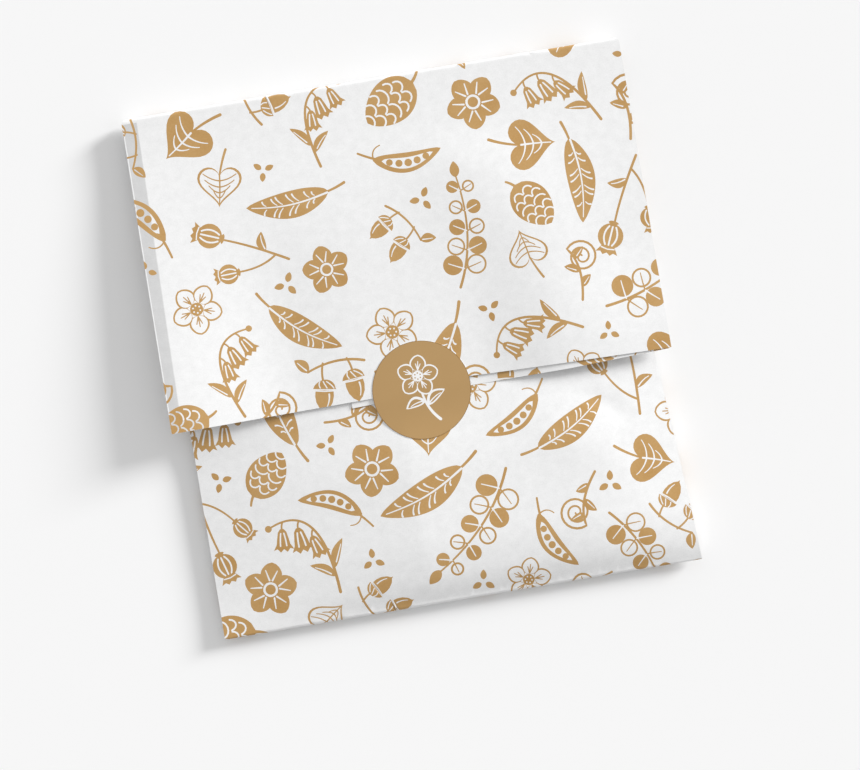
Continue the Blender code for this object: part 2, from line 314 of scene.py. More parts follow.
def heartLeafLine():  # outline, with inked veins
    shape = [inkLine(curve((0, 4), (-1, 11), (-3, 17)), 0.9, 1.3)]
    shape += [(heart(22), True), (heart(19.6), False)]
    shape.append(inkLine(curve((0, 4.5), (-0.4, -3), (0, -10)), 0.8, 0.6))
    for side in (-1, 1):
        for level, reach in ((1.5, 8.2), (-1.6, 7.2), (-4.4, 5.2), (-7.0, 2.8)):
            bend, end = (side * reach * 0.5, level + 0.3), (side * reach, level + 3.4)
            vein = curve((0.1 * side, level), bend, end, 8)
            shape.append(inkLine(vein, 0.7, 0.5))
    return shape


def blossom():  # five solid petals
    shape = []
    for k in range(5):
        petal = leaf((2.5, 0), (13.2, 0), 10.5, 0.0, 0.55, 17)
        shape.append((turned(petal, 90 + 72 * k), True))
        for spread in (-9, 9):
            vein = np.stack([np.linspace(4.5, 9.5, 5), np.linspace(0, 1.4 * np.sign(spread), 5)], axis=1)
            shape.append(paleLine(turned(vein, 90 + 72 * k + spread), 0.9, 0.5))
    shape.append((disc((0, 0), 3.6), False))
    shape.append((disc((0, 0), 2.5), True))
    return shape


def blossomLine():  # five outlined petals with stamens
    shape = []
    for k in range(5):
        for grow, inked in ((1.0, True), (0.82, False)):
            petal = leaf((3.0 + 1.0 * (1 - grow), 0), (12.6 - 4.5 * (1 - grow), 0), 9.8 * grow, 0.0, 0.55, 17)
            shape.append((turned(petal, 54 + 72 * k), inked))
        for spread in (-1.4, 0.0, 1.4):
            vein = np.stack([np.linspace(3.6, 8.6 - abs(spread), 5), np.linspace(0, spread, 5)], axis=1)
            shape.append(inkLine(turned(vein, 54 + 72 * k), 0.7, 0.5))
    shape.append((disc((0, 0), 3.2), True))
    for k in range(6):
        shape.append((disc(polar(1.8, 60 * k), 0.45, 8), False))
    return shape


def acornParts(place, degrees, size):  # nut, then cap with scales
    nut = np.array([[-4.2, 0], [-4.4, -3], [-3.8, -6], [-2.2, -8.8], [-0.5, -10.2], [0, -11.4]])
    nut = np.concatenate([nut, nut[-2::-1] * [-1, 1]])
    cap = np.concatenate([leaf((-5.4, 0.4), (5.4, 0.4), 9.0, 0.0, 0.6, 17)[:17], [[5.4, 0.4]]])
    cap = np.stack([cap[:, 0], np.maximum(-cap[:, 1] + 0.8, 0.2)], axis=1)[::-1]
    shine = stroke(curve((-2.2, -2), (-2.6, -5), (-1.2, -8), 8), 0.8, 0.4)
    parts = [(nut, True), (shine, False), (cap, True)]
    for x in (-3.2, 0.0, 3.2):
        parts.append(paleLine(curve((x - 1.2, 0.9), (x - 0.2, 2.4), (x * 0.5 + 0.6, 3.9), 6), 0.55))
    parts.append(paleLine([(-4.6, -0.35), (0, -0.6), (4.6, -0.35)], 0.7))
    return [(turned(outline * size, degrees, place), inked) for outline, inked in parts]


def acornTwig():  # two acorns under a bowed twig
    shape = [inkLine(curve((-13, 9), (0, 13), (14, 7), 16), 1.3, 1.0)]
    shape.append(inkLine(curve((-5, 11.1), (-6.5, 8), (-6.8, 5), 8), 1.0))
    shape.append(inkLine(curve((6.5, 10.2), (7.8, 6), (7.4, 2), 8), 1.0))
    shape += acornParts((-6.9, 0.8), -6, 1.0) + acornParts((7.4, -2.2), 8, 1.0)
    shape.append((leaf((13.6, 7), (19.5, 13.5), 5.2, 0.6), True))
    shape.append(paleLine(curve((14.5, 8), (16.5, 10), (18.2, 12), 6), 0.7, 0.4))
    return shape


def tendril():  # spiral whose tail crosses it as a stem with three leaves
    turn = np.linspace(0.6, 4.6 * math.pi, 46)
    coil = (0.85 * turn**0.86)[:, None] * np.stack([np.cos(turn), np.sin(turn)], axis=1)
    tail = curve(coil[-1], coil[-1] + (0.5, -12), coil[-1] + (-13, -24), 16)[1:]
    shape = [inkLine(np.concatenate([coil, tail]), 0.9, 1.3)]
    for at, side in ((3, 1), (7, -1), (11, 1)):
        base = tail[at]
        tip = base + (np.array([7.5, 1.5]) if side > 0 else np.array([-4.0, 7.5]))
        shape.append((leaf(base, tip, 4.2, 0.7 * side), True))
        rib = curve(mix(base, tip, 0.25), mix(base, tip, 0.5), mix(base, tip, 0.8), 5)
        shape.append(paleLine(rib, 0.6, 0.3))
    return shape


def bladeLeaf():  # long leaf with slits to both sides of its midrib
    shape = [inkLine(curve((-30, -3), (-25, -1), (-20, 0)), 1.6, 1.2)]
    shape.append((leaf((-21, 0), (25, 0), 15, 3.0, 0.75, 21), True))
    rib = np.stack([np.linspace(-20, 22, 15), 3.0 * np.sin(np.linspace(0.05, 0.93, 15) * np.pi)], axis=1)
    shape.append(paleLine(rib, 1.1, 0.5))
    for k in range(7):
        foot = rib[2 + int(1.5 * k)]
        for side in (-1, 1):
            reach = 5.6 * math.sin(math.pi * (0.18 + 0.1 * k))
            end = foot + (reach * 0.8, side * reach)
            slit = curve(foot + (1.2, side * 1.0), mix(foot, end, 0.6) + (1.2, 0), end, 7)
            shape.append(paleLine(slit, 0.45, 0.95))
    return shape


def pineCone():  # lens with rows of arcs cut out
    cone = leaf((0, -15), (0, 14), 21, 0.0, 0.62, 21)
    shape = [inkLine(curve((0, -14), (0.5, -17), (2, -19.5), 6), 1.6, 1.2), (cone, True)]
    for row in range(6):
        level = -10.5 + 4.2 * row
        wide = 0.5 * 21 * max(math.sin(math.pi * ((level + 15) / 29) ** 0.85), 0.0) ** 0.62
        count = 3 if row % 2 else 2
        count = count if row < 5 else 1
        step = 2 * wide / (count + 0.4)
        for k in range(count):
            x = (k - 0.5 * (count - 1)) * step
            turn = np.linspace(math.pi * 1.08, math.pi * 1.92, 8)
            scale = np.stack([x + 0.46 * step * np.cos(turn), level + 2.2 + 3.4 * np.sin(turn) + 1.2], axis=1)
            shape.append(paleLine(scale, 0.85))
    return shape


def roundLeafBranch():  # pairs of round leaves, solid and outlined by turns
    stem = curve((-4, -30), (6, -4), (-3, 28), 24)
    shape = [inkLine(stem, 1.4, 0.8)]
    for k in range(5):
        foot = stem[4 + 4 * k]
        radius = 5.2 - 0.5 * k
        for side in (-1, 1):
            middle = foot + (side * (radius + 0.9), 2.4)
            filled = (k + (side > 0)) % 2 == 0
            shape.append((disc(middle, radius, 22), True))
            if not filled:
                shape.append((disc(middle, radius - 0.95, 20), False))
            ribEnd = middle + (side * radius * 0.45, 0.9)
            rib = curve(foot + (side * 0.4, 0.4), mix(foot, middle, 0.6), ribEnd, 7)
            shape.append((stroke(rib, 0.75, 0.45), not filled))
    top = stem[-1]
    shape.append((leaf(top + (0, -1), top + (-0.8, 7.5), 5.0), True))
    return shape


def podParts(place, degrees, size):  # ribbed ball under a toothed crown
    parts = [(disc((0, 0), 6.2, 24), True)]
    for x in (-3.4, 0.0, 3.4):
        parts.append(paleLine(curve((x * 0.5, -4.6), (x * 1.35, 0), (x * 0.5, 4.4), 9), 0.85))
    crown = np.array([(-3.4, 5.4), (-5.4, 8.6), (-3.2, 8.0), (-1.8, 9.4), (0, 8.2)])
    crown = np.concatenate([crown, crown[-2::-1] * [-1, 1]])
    parts.append((crown[::-1], True))
    parts.append(paleLine([(-3.2, 6.0), (0, 6.5), (3.2, 6.0)], 0.6))
    parts.append((leaf((-2.6, -6.6), (2.6, -6.6), 1.8, 0.0, 0.5, 9), True))
    return [(turned(outline * size, degrees, place), inked) for outline, inked in parts]


def poppyPods():  # two pods on a forked stem
    shape = [inkLine(curve((2, -27), (-4, -8), (-6, 6), 18), 1.3, 1.0)]
    shape.append(inkLine(curve((0.4, -20), (7, -14), (9.5, -3), 14), 1.1, 0.9))
    shape += podParts((-7.6, 13.0), 10, 1.0) + podParts((11.0, 2.6), -14, 0.8)
    shape.append((leaf((-1.2, -15), (-11, -12.5), 4.6, -1.2), True))
    shape.append(paleLine(curve((-2.6, -14.8), (-6, -12.6), (-9, -12.4), 7), 0.7, 0.4))
    return shape


def bellParts(place, degrees, size):  # flared bell with two slits
    half = [[0.9, 0.4], [2.2, -1.2], [2.9, -4.4], [3.5, -7.4], [5.2, -10.2], [3.3, -9.6], [1.7, -11.4]]
    half = np.array(half)
    bell = np.concatenate([half, [[0.0, -9.8]], half[::-1] * [-1, 1]])
    parts = [(bell[::-1], True), paleLine(curve((0.8, -1.8), (1.4, -4.5), (1.6, -8.2), 7), 0.75)]
    parts.append(paleLine(curve((-0.8, -1.8), (-1.4, -4.5), (-1.6, -8.2), 7), 0.75))
    return [(turned(outline * size, degrees, place), inked) for outline, inked in parts]


def bellStem():  # three bells on an arched stem
    stem = curve((-12, -24), (-14, 24), (14, 14), 28)
    shape = [inkLine(stem, 1.5, 0.9)]
    for at, size, degrees in ((13, 0.95, -14), (18, 1.05, 0), (23, 0.95, 8)):
        foot = stem[at] + (1.4, -3.6)
        shape.append(inkLine(curve(stem[at], stem[at] + (1.2, -1.2), foot, 6), 0.9))
        shape += bellParts(foot, degrees, size)
    shape.append((disc(stem[-1], 1.7, 12), True))
    for side, base, tip in ((1, (-12.2, -16), (-1, -8)), (-1, (-12.4, -12), (-19.5, 1))):
        base, tip = np.array(base), np.array(tip)
        shape.append((leaf(base, tip, 4.4, 1.2 * side), True))
        rib = curve(mix(base, tip, 0.2), mix(base, tip, 0.5) + (-0.3, 0.6), mix(base, tip, 0.8), 6)
        shape.append(paleLine(rib, 0.7, 0.4))
    return shape


def peaPod():  # lens opened on a row of peas
    shape = [inkLine(curve((-24, 5), (-19, 2), (-15.5, 0.5), 8), 1.1, 1.3)]
    shape.append(inkLine(curve((-16.5, 0.8), (-17, 6), (-12, 7.2), 10), 0.8, 0.6))
    shape.append((leaf((-17, 0), (19, 0), 10.5, -4.2, 0.7, 21), True))
    shape.append((leaf((-12.5, -1.2), (14.6, -1.2), 5.8, -3.2, 0.6, 17), False))
    for k in range(5):
        x = -8.6 + 4.8 * k
        y = -1.2 - 3.2 * math.sin(math.pi * (x + 12.5) / 27.1)
        shape.append((disc((x, y), 2.0 - 0.12 * abs(k - 2), 14), True))
    return shape


def dropTrio():  # three drops about a point
    return [(leaf(polar(1.2, a), polar(6.0, a), 3.0, 0.0, 0.7, 11), True) for a in (90, 210, 330)]


motifKinds = [bladeLeaf, roundLeafBranch, bellStem, poppyPods, tendril, peaPod, acornTwig, heartLeaf,
              pineCone, heartLeafLine, blossom, blossomLine]


def footprint(shape):  # inked outlines thinned, with points half way to each outline's middle
    spots = []
    for outline, inked in shape:
        if inked and len(outline) > 10:
            thin = outline[:: max(1, len(outline) // 12)]
            spots += [thin, mix(thin, outline.mean(0), 0.5)]
    return np.concatenate(spots)


printLayout = {"gap": 5.5, "tries": 120, "apart": 55, "sizes": (0.92, 1.1), "trios": 6, "over": 6, "pad": 70,
               "far": 40.0, "reach": 20}


# Throws each motif at random and keeps the clear place nearest its neighbours; toInk holds mm to the next ink
def layOut(low, high, rounds, seed):
    rng = np.random.default_rng(seed)
    pad, reach = printLayout["pad"], printLayout["reach"]
    toInk = np.full(np.ceil(np.asarray(high) - low).astype(int) + 2 * pad, printLayout["far"])
    drawn = []
    centres = {}
    order = [kind for _ in range(rounds) for kind in rng.permutation(motifKinds)]
    for kind in order + [dropTrio] * (printLayout["trios"] * rounds):
        shape = kind()
        spots = footprint(shape)
        best = None
        for _ in range(printLayout["tries"]):
            degrees = rng.uniform(0, 360)
            size = rng.uniform(*printLayout["sizes"]) * np.array([rng.choice((-1.0, 1.0)), 1.0])
            centre = rng.uniform(low, high)
            if any(np.linalg.norm(centre - other) < printLayout["apart"] for other in centres.get(kind, [])):
                continue
            spread = turned(spots * size, degrees, centre)
            cells = (spread - low).astype(int) + pad
            away = toInk[cells[:, 0], cells[:, 1]]
            if away.min() > printLayout["gap"] and (best is None or away.mean() < best[0]):
                best = (away.mean(), spread, degrees, size, centre)
        if best is None:
            continue
        _, spread, degrees, size, centre = best
        centres.setdefault(kind, []).append(centre)
        start = np.maximum((spread.min(0) - low).astype(int) + pad - reach, 0)
        end = start + np.ptp(spread, axis=0).astype(int) + 2 * reach + 1
        patch = toInk[start[0] : end[0], start[1] : end[1]]
        x, y = (np.arange(n) + a - pad + 0.5 for n, a in zip(patch.shape, start))
        gaps = [np.hypot(*np.meshgrid(x - px, y - py, indexing="ij")) for px, py in spread - low]
        np.minimum(patch, np.min(gaps, axis=0), out=patch)
        drawn += [(turned(outline * size, degrees, centre), inked) for outline, inked in shape]
    return drawn


def ordered(outline):  # counter-clockwise
    x, y = outline.T
    return outline if np.sum(x * np.roll(y, -1) - y * np.roll(x, -1)) > 0 else outline[::-1]


# Triangles of the flat sheet with every print edge kept, and whether the last outline round each is inked
def cutSheet(border, spots, drawn):
    outlines = [ordered(border)] + [ordered(outline) for outline, _ in drawn]
    starts = np.cumsum([0] + [len(outline) for outline in outlines])
    points = np.concatenate(outlines + [spots])
    rings = [list(range(a, b)) for a, b in zip(starts[:-1], starts[1:])]
    found = delaunay_2d_cdt([tuple(p) for p in points], [], rings, 0, 1e-4)
    verts = np.array([tuple(v) for v in found[0]])
    faces = np.array([face for face, owners in zip(found[2], found[5]) if 0 in owners])
    middle = verts[faces].mean(1)
    ink = np.zeros(len(faces), bool)
    for outline, inked in drawn:
        near = np.flatnonzero(np.all((middle > outline.min(0)) & (middle < outline.max(0)), axis=1))
        ink[near[inside(middle[near], outline)]] = inked
    used, faces = np.unique(faces, return_inverse=True)
    return verts[used], faces.reshape(-1, 3), ink


def addObject(name, data):  # in the scene, at the origin
    thing = bpy.data.objects.new(name, data)
    bpy.context.scene.collection.objects.link(thing)
    return thing


# Outer face on the map, inner face a thickness behind it along the normal, and a rim between their edges
def makeSheet(name, flat, faces, slots, place, thickness, materials, backSlot):
    step, sharp = 2e-5, math.radians(40)
    across = place(flat + (step, 0.0)) - place(flat - (step, 0.0))
    along = place(flat + (0.0, step)) - place(flat - (0.0, step))
    normal = np.cross(across, along)
    normal /= np.linalg.norm(normal, axis=1)[:, None]
    outer = place(flat)
    count = len(flat)
    verts = np.concatenate([outer, outer - normal * thickness])
    edges = np.concatenate([faces[:, [0, 1]], faces[:, [1, 2]], faces[:, [2, 0]]])
    key = np.sort(edges, axis=1)
    _, first, uses = np.unique(key, axis=0, return_index=True, return_counts=True)
    rim = edges[first[uses == 1]]
    rimOne = np.stack([rim[:, 1], rim[:, 0], rim[:, 0] + count], axis=1)
    rimTwo = np.stack([rim[:, 1], rim[:, 0] + count, rim[:, 1] + count], axis=1)
    triangles = np.concatenate([faces, faces[:, ::-1] + count, rimOne, rimTwo])
    slotOf = np.concatenate([slots, np.full(len(faces) + 2 * len(rim), backSlot)])
    mesh = bpy.data.meshes.new(name)
    mesh.from_pydata(verts.tolist(), [], triangles.tolist())
    mesh.polygons.foreach_set("material_index", slotOf.astype(np.int32))
    mesh.polygons.foreach_set("use_smooth", np.ones(len(triangles), bool))
    uvs = np.concatenate([flat, flat])[triangles.ravel()]
    mesh.uv_layers.new(name="flat").data.foreach_set("uv", uvs.astype(np.float32).ravel())
    mesh.set_sharp_from_angle(angle=sharp)
    for material in materials:
        mesh.materials.append(material)
    return addObject(name, mesh)


# Materials
def newMaterial(name):  # with its node tree and shader
    material = bpy.data.materials.new(name)
    material.use_nodes = True
    tree = material.node_tree
    return material, tree, tree.nodes["Principled BSDF"]


def addNode(tree, kind, inputs=None, **settings):  # inputs that are sockets are linked, others set
    node = tree.nodes.new(kind)
    for key, value in settings.items():
        setattr(node, key, value)
    for key, value in (inputs or {}).items():
        if isinstance(value, bpy.types.NodeSocket):
            tree.links.new(value, node.inputs[key])
        else:
            node.inputs[key].default_value = value
    return node


def addMath(tree, operation, *values):
    return addNode(tree, "ShaderNodeMath", dict(enumerate(values)), operation=operation).outputs[0]


def addNoise(tree, vector, scale, detail, roughness):
    inputs = {"Vector": vector, "Scale": scale, "Detail": detail, "Roughness": roughness}
    return addNode(tree, "ShaderNodeTexNoise", inputs).outputs["Fac"]


def addRange(tree, value, fromLow, fromHigh, toLow, toHigh):
    inputs = {"Value": value, 1: fromLow, 2: fromHigh, 3: toLow, 4: toHigh}
    return addNode(tree, "ShaderNodeMapRange", inputs).outputs[0]


def addBlend(tree, share, first, second, **settings):
    inputs = {"Factor": share, "A": first, "B": second}
    return addNode(tree, "ShaderNodeMix", inputs, data_type="RGBA", **settings).outputs["Result"]


def fromSrgb(red, green, blue):  # screen levels to linear colour
    channels = np.array([red, green, blue]) / 255
    linear = np.where(channels < 0.04045, channels / 12.92, ((channels + 0.055) / 1.055) ** 2.4)
    return (*linear.tolist(), 1.0)


def grey(level):
    return fromSrgb(level, level, level)


# Noise is given as scale, detail and roughness
paper = {"cloud": (210.0, 5.0, 0.65), "grain": (1500.0, 3.0, 0.7), "tones": (0.7, 1.3), "roughness": 0.62,
         "roughSpread": 0.06, "specular": 0.25, "bump": 0.12, "bumpHeight": 0.0002, "thickness": 0.00012}
inkLook = {"patch": (60.0, 2.0, 0.5), "grain": (4.0, 0.7), "tones": (0.65, 1.35), "roughSpread": 0.05,
           "specular": 0.3}


# Share of shade on the single-ply band along the flap's left side and on the notch at its foot
def bandShade(tree, uv, band):
    split = addNode(tree, "ShaderNodeSeparateXYZ", {0: uv})
    across, along = split.outputs["X"], split.outputs["Y"]
    edge = addMath(tree, "MULTIPLY_ADD", along, band["lean"], band["edge"])
    past = addMath(tree, "SUBTRACT", across, edge)
    single = addRange(tree, past, band["soft"], -band["soft"], 0.0, band["depth"])
    low = addMath(tree, "LESS_THAN", along, band["notchTop"])
    near = addMath(tree, "LESS_THAN", across, band["notchEnd"])
    notch = addMath(tree, "MULTIPLY", addMath(tree, "MULTIPLY", low, near), band["notchDepth"])
    onFlap = addMath(tree, "LESS_THAN", along, 0.0)
    inset = addMath(tree, "GREATER_THAN", across, band["start"])
    shown = addMath(tree, "MULTIPLY", onFlap, inset)
    return addMath(tree, "MULTIPLY", addMath(tree, "MAXIMUM", single, notch), shown)


# Pale paper with cloudy formation, fine fibre grain and, on the flap, painted shade on the single-ply band,
# standing in for the floor's shadow seen through one ply of paper
def paperMaterial(name, colour, dark, band=None):
    material, tree, shader = newMaterial(name)
    uv = addNode(tree, "ShaderNodeUVMap", uv_map="flat").outputs["UV"]
    grain = addNoise(tree, uv, *paper["grain"])
    both = addMath(tree, "ADD", addNoise(tree, uv, *paper["cloud"]), grain)
    result = addBlend(tree, addRange(tree, both, *paper["tones"], 0.0, 1.0), dark, colour)
    if band is not None:
        black = (0.0, 0.0, 0.0, 1.0)
        # painted shade: the single-ply band and its notch are multiplied towards black
        result = addBlend(tree, bandShade(tree, uv, band), result, black, blend_type="MULTIPLY")
    tree.links.new(result, shader.inputs["Base Color"])
    smooth, coarse = paper["roughness"] - paper["roughSpread"], paper["roughness"] + paper["roughSpread"]
    tree.links.new(addRange(tree, grain, 0.0, 1.0, smooth, coarse), shader.inputs["Roughness"])
    shader.inputs["Specular IOR Level"].default_value = paper["specular"]
    bump = {"Height": both, "Strength": paper["bump"], "Distance": paper["bumpHeight"]}
    tree.links.new(addNode(tree, "ShaderNodeBump", bump).outputs[0], shader.inputs["Normal"])
    return material


# Ink between two tones, patchy on a large scale and grainy on a small one
def inkMaterial(name, colour, pale, scale=900.0, roughness=0.5):
    material, tree, shader = newMaterial(name)
    uv = addNode(tree, "ShaderNodeUVMap", uv_map="flat").outputs["UV"]
    grain = addNoise(tree, uv, scale, *inkLook["grain"])
    both = addMath(tree, "ADD", addNoise(tree, uv, *inkLook["patch"]), grain)
    result = addBlend(tree, addRange(tree, both, *inkLook["tones"], 0.0, 1.0), colour, pale)
    tree.links.new(result, shader.inputs["Base Color"])
    smooth, coarse = roughness - inkLook["roughSpread"], roughness + inkLook["roughSpread"]
    tree.links.new(addRange(tree, grain, 0.0, 1.0, smooth, coarse), shader.inputs["Roughness"])
    shader.inputs["Specular IOR Level"].default_value = inkLook["specular"]
    return material


leftEnd = -bag["halfFlap"]
# Painted shade on the flap's single-ply band along its left side and on the notch at its foot: a darkening
# that stands in for the floor's shadow seen through one ply
singlePlyShade = {
    "edge": leftEnd + 0.0077, "lean": 0.0133, "soft": 0.0003, "depth": 0.26, "start": leftEnd + 0.0006,
    "notchTop": bag["freeY"] - 0.5 * bag["flapSkew"] - foldAxis[1] + 0.0060, "notchEnd": leftEnd + 0.0175,
    "notchDepth": 0.182,
}
sealGrain = 1400.0
printedPaper = paperMaterial("printed paper", grey(245), grey(232), singlePlyShade)
plainPaper = paperMaterial("plain paper", grey(243), grey(236))
goldInk = inkMaterial("gold ink", fromSrgb(184, 142, 84), fromSrgb(198, 160, 106))
sealGold = inkMaterial("seal gold", fromSrgb(180, 145, 96), fromSrgb(184, 149, 100), sealGrain)
# Painted shade: a darker gold ring that stands in for the shade at the seal's cut edge
sealEdgeShade = inkMaterial("seal edge shade", fromSrgb(146, 112, 68), fromSrgb(152, 118, 74), sealGrain)
sealWhite = inkMaterial("seal white", grey(240), grey(246), sealGrain)
print("stage materials: made")

millimetre = 0.001


def gridSpots(low, high, step):  # staggered grid of inner points
    x, y = np.meshgrid(np.arange(low[0], high[0], step), np.arange(low[1], high[1], step))
    x = x + 0.5 * step * (np.arange(len(x)) % 2)[:, None]
    return np.stack([x.ravel(), y.ravel()], axis=1)


# True where the border winds round the point: its edges to the right, counted up or down, don't cancel
def inside(points, border):
    turns = np.zeros(len(points), int)
    for (x0, y0), (x1, y1) in zip(border, np.roll(border, -1, axis=0)):
        crosses = (y0 > points[:, 1]) != (y1 > points[:, 1])
        if crosses.any():
            reach = x0 + (points[:, 1] - y0) * (x1 - x0) / (y1 - y0)
            turns += np.where(crosses & (points[:, 0] < reach), 1 if y1 > y0 else -1, 0)
    return turns != 0


def line(start, end, step=2.0):  # even points from start, without the end
    start, end = np.asarray(start, float), np.asarray(end, float)
    count = max(2, int(np.linalg.norm(end - start) / step) + 1)
    return mix(start, end, np.linspace(0, 1, count, endpoint=False)[:, None])


wrapPlan = {"cutBack": 0.0039, "cutPast": -0.0007, "cutX": 0.005, "cutSpan": 0.120, "cutPower": 0.75,
            "riseX": -0.010, "riseSpan": 0.015, "cornerStart": 0.8, "cornerSteps": 27, "step": 3.2,
            "foldStep": 2.5, "foldRows": 17, "rounds": 12, "seed": 11}
frontPlan = {"step": 3.0, "foldSteps": 130, "foldRows": 13, "rounds": 7, "seed": 5}


def outerEdge(x):  # free edge of the printed ply, cut back to the right of the seal and less so at its end
    share = clip01((x - wrapPlan["cutX"]) / wrapPlan["cutSpan"]) ** wrapPlan["cutPower"]
    back = mix(wrapPlan["cutBack"], wrapPlan["cutPast"], share)
    return freeEdge(x) + back * ease((x - wrapPlan["riseX"]) / wrapPlan["riseSpan"])


def roundedCorner(arc):  # right end of the top fold in mm, drawn in by a quarter circle as the fold turns
    count, radius = wrapPlan["cornerSteps"], bag["cornerRadius"]
    along = np.linspace(-wrapPlan["cornerStart"], arc + wrapPlan["cornerStart"], count)
    y = placeWrap(np.stack([np.zeros(count), along * millimetre], axis=1))[:, 1]
    over = np.maximum((y - foldAxis[1] - bag["foldRadius"]) / millimetre + radius, 0.0)
    inset = radius - np.sqrt(np.maximum(radius**2 - over**2, 0.0))
    return np.stack([bag["halfFlap"] / millimetre - inset, along], axis=1)


def wrapBorder():  # flat outline of flap, top fold and back, counter-clockwise from the free edge's left end
    arc = math.pi * bag["foldRadius"] / millimetre

    def downBack(y):
        return arc + (foldAxis[1] - y) / millimetre

    x = np.linspace(-bag["halfFlap"], bag["halfFlap"], 140)
    free = np.stack([x, outerEdge(x) - foldAxis[1]], axis=1) / millimetre
    y = np.linspace(foldAxis[1], bag["bottomY"] + 0.0015, 130)
    opened = bag["margin"] * ease((y - foldAxis[1]) / bag["runout"] + 1.0)
    right = np.stack([(rightSide(y) + opened) / millimetre, downBack(y)], axis=1)
    left = np.stack([-(bag["halfBody"] + opened) / millimetre, downBack(y)], axis=1)
    right = right[right[:, 1] < downBack(bottomTangent(right[:, 0] * millimetre))]
    left = left[left[:, 1] < downBack(bottomTangent(left[:, 0] * millimetre))]
    x = np.linspace(right[-1, 0], left[-1, 0], 122)[1:-1]
    bottom = np.stack([x, downBack(bottomTangent(x * millimetre))], axis=1)
    corner = roundedCorner(arc)
    upRight = np.concatenate([line(free[-1], corner[0]), corner])
    upLeft = np.concatenate([corner[::-1] * [-1, 1], line(corner[0] * [-1, 1], free[0])[1:]])
    return np.concatenate([free[:-1], upRight, right[1:], bottom, left[:0:-1], upLeft])


# Cuts the sheet along its print and puts it in place
def printSheet(name, border, spots, drawn, place, outside):
    flat, faces, ink = cutSheet(border, spots[inside(spots, border)], drawn)
    materials = (outside, goldInk, plainPaper)
    return makeSheet(name, flat * millimetre, faces, ink.astype(int), place, paper["thickness"], materials, 2)


def layOutOver(border, plan):  # print over the border's box and a little past it
    low, high = border.min(0) - printLayout["over"], border.max(0) + printLayout["over"]
    return layOut(low, high, plan["rounds"], plan["seed"])


def makeWrap():  # staggered points on the flap and the back, regular rows round the fold
    border = wrapBorder()
    arc = math.pi * bag["foldRadius"] / millimetre
    low, high = border.min(0), border.max(0)
    spots = gridSpots(low + 1, high - 1, wrapPlan["step"])
    spots = spots[(spots[:, 1] < -1.5) | (spots[:, 1] > arc + 1.5)]
    rows = np.linspace(-1.0, arc + 1.0, wrapPlan["foldRows"])
    x, y = np.meshgrid(np.arange(low[0] + 1.5, high[0] - 1.0, wrapPlan["foldStep"]), rows)
    spots = np.concatenate([spots, np.stack([x.ravel(), y.ravel()], axis=1)])
    return printSheet("wrapSheet", border, spots, layOutOver(border, wrapPlan), placeWrap, printedPaper)


def frontBorder():  # flat outline of front and bottom fold, counter-clockwise from the bottom's left end
    mouth = bag["mouthY"]
    y = np.linspace(mouth, bag["bottomY"] + 0.0010, 120)
    right = np.stack([rightSide(y), y], axis=1)
    left = np.stack([np.full(len(y), -bag["halfBody"]), y], axis=1)
    x = np.linspace(-bag["halfBody"], rightSide(bag["bottomY"]), 160)
    low, high = bottomEnds(x)
    bottom = np.stack([x, bottomTangent(x) - 0.5 * math.pi * (high - low)], axis=1)
    right = right[right[:, 1] > bottom[-1, 1]] / millimetre
    left = left[left[:, 1] > bottom[0, 1]] / millimetre
    return np.concatenate([bottom / millimetre, right[:0:-1], line(right[0], left[0]), left[1:]])


def makeFront():  # staggered points on the panel, regular rows round the bottom fold
    border = frontBorder()
    low, high = border.min(0), border.max(0)
    spots = gridSpots(low + 1, high - 1, frontPlan["step"])
    spots = spots[spots[:, 1] > bottomTangent(spots[:, 0] * millimetre) / millimetre]
    inset = 0.002
    x = np.linspace(-bag["halfBody"] + inset, rightSide(bag["bottomY"]) - inset, frontPlan["foldSteps"])
    foldLow, foldHigh = bottomEnds(x)
    arc = 0.5 * math.pi * (foldHigh - foldLow)
    shares = np.linspace(0.02, 0.95, frontPlan["foldRows"])
    rows = [np.stack([x, bottomTangent(x) - arc * share], axis=1) / millimetre for share in shares]
    spots = np.concatenate([spots] + rows)
    return printSheet("frontSheet", border, spots, layOutOver(border, frontPlan), placeFront, printedPaper)


wrap = makeWrap()
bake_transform(wrap)
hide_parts("back_panel", "top_fold", "flap")
print("stage wrap:", len(wrap.data.polygons), "faces")

front = makeFront()
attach(front, "bag")
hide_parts("front_panel", "bottom_fold")
print("stage front:", len(front.data.polygons), "faces")


liningPlan = {"left": 0.0065, "right": 0.0008, "tuck": 0.003, "drop": 0.0008, "below": 0.006, "step": 4.0,
              "edgeX": (-0.0362, 0.0246, 0.076, 0.128), "edgeY": (-0.0292, -0.0275, -0.0273, -0.0255),
              "printHigh": 40, "printX": 5.0, "rounds": 2, "seed": 3}


def placeLining(flat):  # under the flap, a ply lower
    x, along = flat[:, 0], flat[:, 1]
    return np.stack([x, along, flapHeight(x, along) - liningPlan["drop"]], axis=1)


